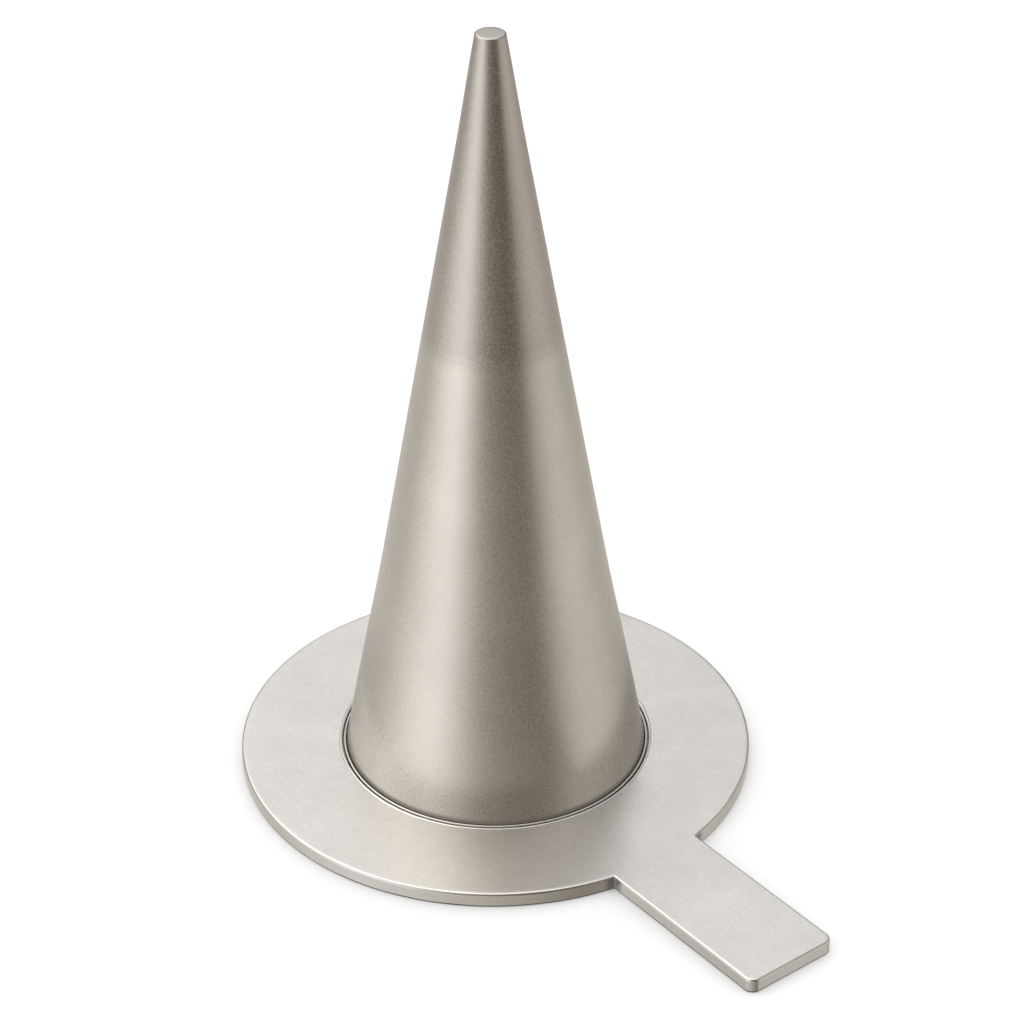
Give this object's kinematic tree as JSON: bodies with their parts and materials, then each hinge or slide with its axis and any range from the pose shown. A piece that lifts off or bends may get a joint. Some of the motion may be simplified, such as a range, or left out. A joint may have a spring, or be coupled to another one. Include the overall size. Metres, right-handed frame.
{
  "type": "conical temporary strainer",
  "caption": "Conical temporary pipeline strainer: a closed, skinned cone welded in the bore of a flat ring that has one straight paddle handle.",
  "frame": {"origin": "centre of the footprint's bounding box, in the plane of the ring's underside; the axis of the cone, ring and bore is the vertical line x = -31.975 mm, y = 0", "axes": "+Z along the cone's axis from the ring to the nose, +X along the paddle handle away from the ring, +Y completes the right-handed frame"},
  "size_m": [0.2354, 0.1714, 0.2622],
  "materials": {
    "plate": "fine satin, cool bright steel with soft mottling",
    "skin_lower": "satin, warm grey, fine grain around the cone",
    "skin_upper": "satin, warm grey, a little darker and grainier than the lower section",
    "support": "mill finish sheet",
    "collar": "bright machined edge",
    "cap": "turned face, satin",
    "weld": "brushed weld metal"
  },
  "bodies": {
    "root": {"ring_plate": "plate", "skin_lower": "skin_lower", "skin_upper": "skin_upper", "skin_seam_lower": "weld", "skin_seam_upper": "weld", "support_cone": "support", "support_seam_weld": "weld", "foot_collar": "collar", "base_weld": "weld", "nose_weld": "skin_upper", "nose_cap": "cap"}
  },
  "joints": []
}
